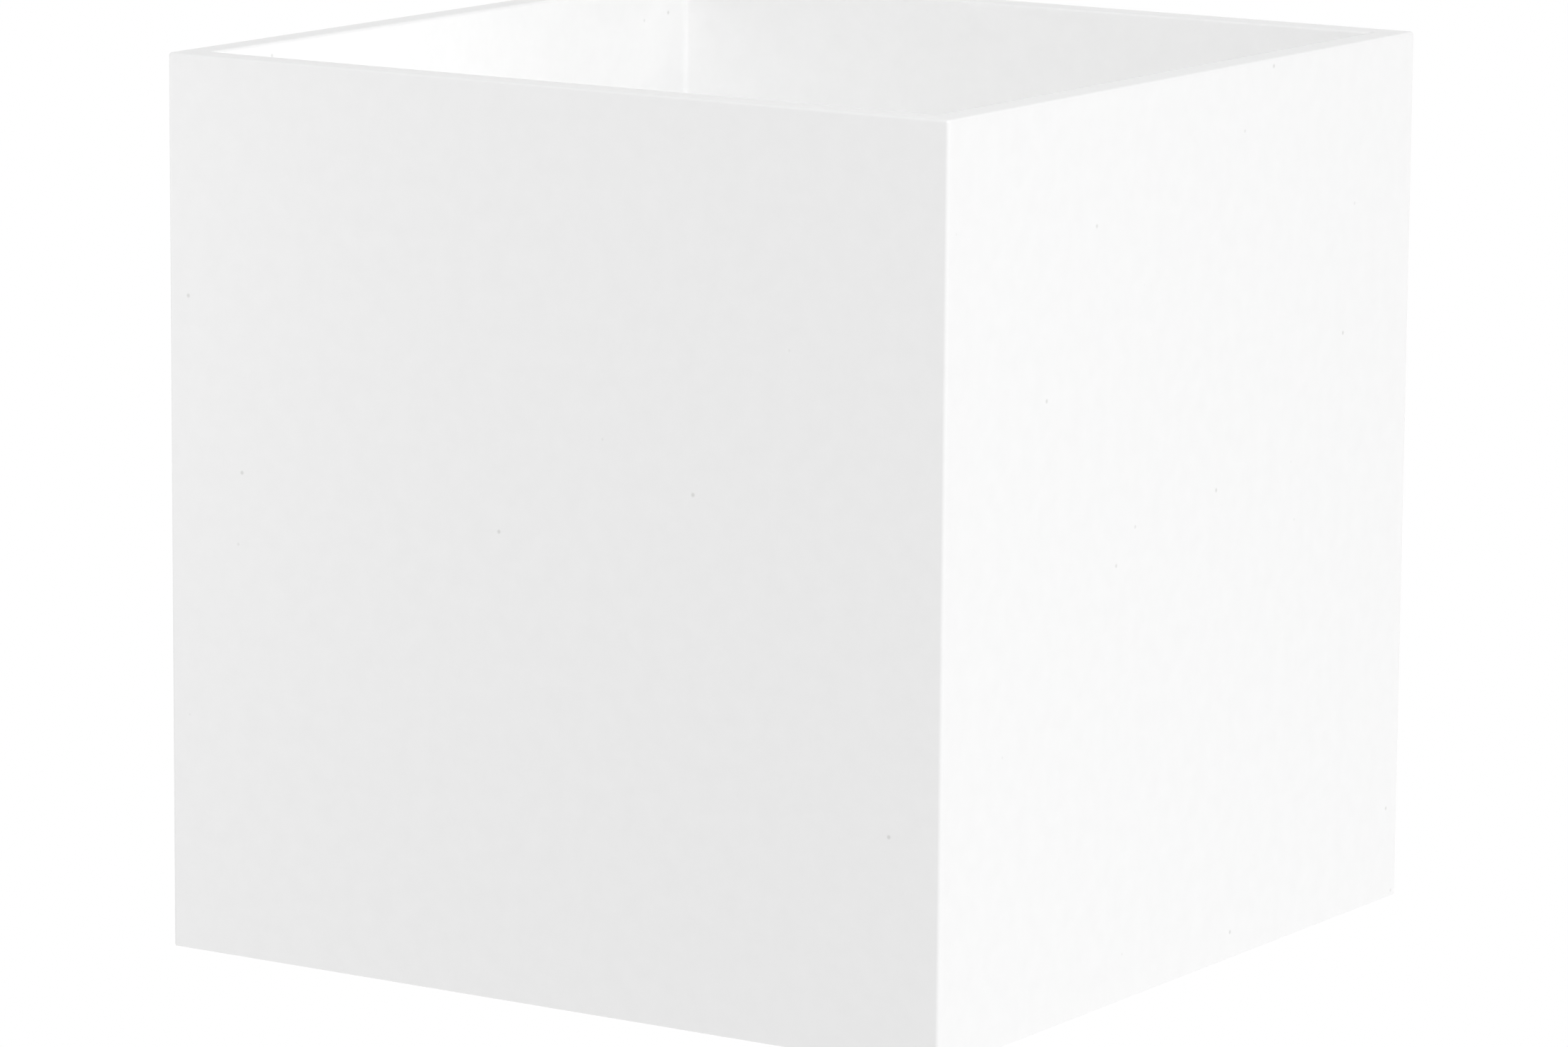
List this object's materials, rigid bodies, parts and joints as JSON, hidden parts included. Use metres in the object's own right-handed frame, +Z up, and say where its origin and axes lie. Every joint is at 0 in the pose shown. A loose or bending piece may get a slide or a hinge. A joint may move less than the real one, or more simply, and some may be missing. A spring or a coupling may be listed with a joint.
{
  "type": "square wall lamp",
  "caption": "Square open tube wall lamp, white powder coat, lit by a plug-in capsule lamp; it clamps on a slotted wall plate and shines up and down.",
  "frame": {"origin": "middle of the lamp's back, on the wall, midway between the two wall slots", "axes": "+Y into the wall, -Y away from it, +Z up, +X to the right of someone facing the wall"},
  "size_m": [0.1, 0.1, 0.1],
  "materials": {
    "white_powder_coat": "satin",
    "zinc_plated_steel": "satin",
    "nickel_plated_brass": "satin",
    "black_rubber": "matte",
    "steatite": "matte",
    "spring_bronze": "satin",
    "natural_polyamide": "matte",
    "bare_brass": "satin",
    "tinned_copper": "satin",
    "brown_silicone": "matte",
    "blue_silicone": "matte",
    "green_yellow_silicone": "matte",
    "white_polybutylene": "satin",
    "bright_pin_wire": "polished",
    "white_solder_mask": "satin",
    "diode_phosphor": "matte",
    "clear_polycarbonate": "gloss"
  },
  "bodies": {
    "lamp_body": {"body_tube": "white_powder_coat", "wall_plate": "zinc_plated_steel", "plate_studs": "zinc_plated_steel", "gear_tray": "zinc_plated_steel", "stud_washers": "zinc_plated_steel", "holder_bridge": "zinc_plated_steel", "bridge_rivets": "zinc_plated_steel", "holder_screws": "zinc_plated_steel", "holder_nuts": "zinc_plated_steel", "block_screws": "zinc_plated_steel", "earth_washer": "zinc_plated_steel", "earth_screw": "zinc_plated_steel", "terminal_screws": "zinc_plated_steel", "thumb_nuts": "nickel_plated_brass", "cable_grommet": "black_rubber", "holder_base": "steatite", "holder_cap": "steatite", "holder_contacts": "spring_bronze", "terminal_block": "natural_polyamide", "terminal_sleeves": "bare_brass", "earth_tag": "tinned_copper", "lead_live": "brown_silicone", "lead_neutral": "blue_silicone", "lead_earth": "green_yellow_silicone"},
    "capsule": {"capsule_base": "white_polybutylene", "capsule_pins": "bright_pin_wire", "capsule_core": "white_solder_mask", "capsule_leds": "diode_phosphor", "capsule_cover": "clear_polycarbonate"}
  },
  "joints": [
    {"name": "capsule_slide", "type": "slide", "parent": "lamp_body", "child": "capsule", "axis": [0, -1, 0], "range_m": [0, 0.016]}
  ]
}
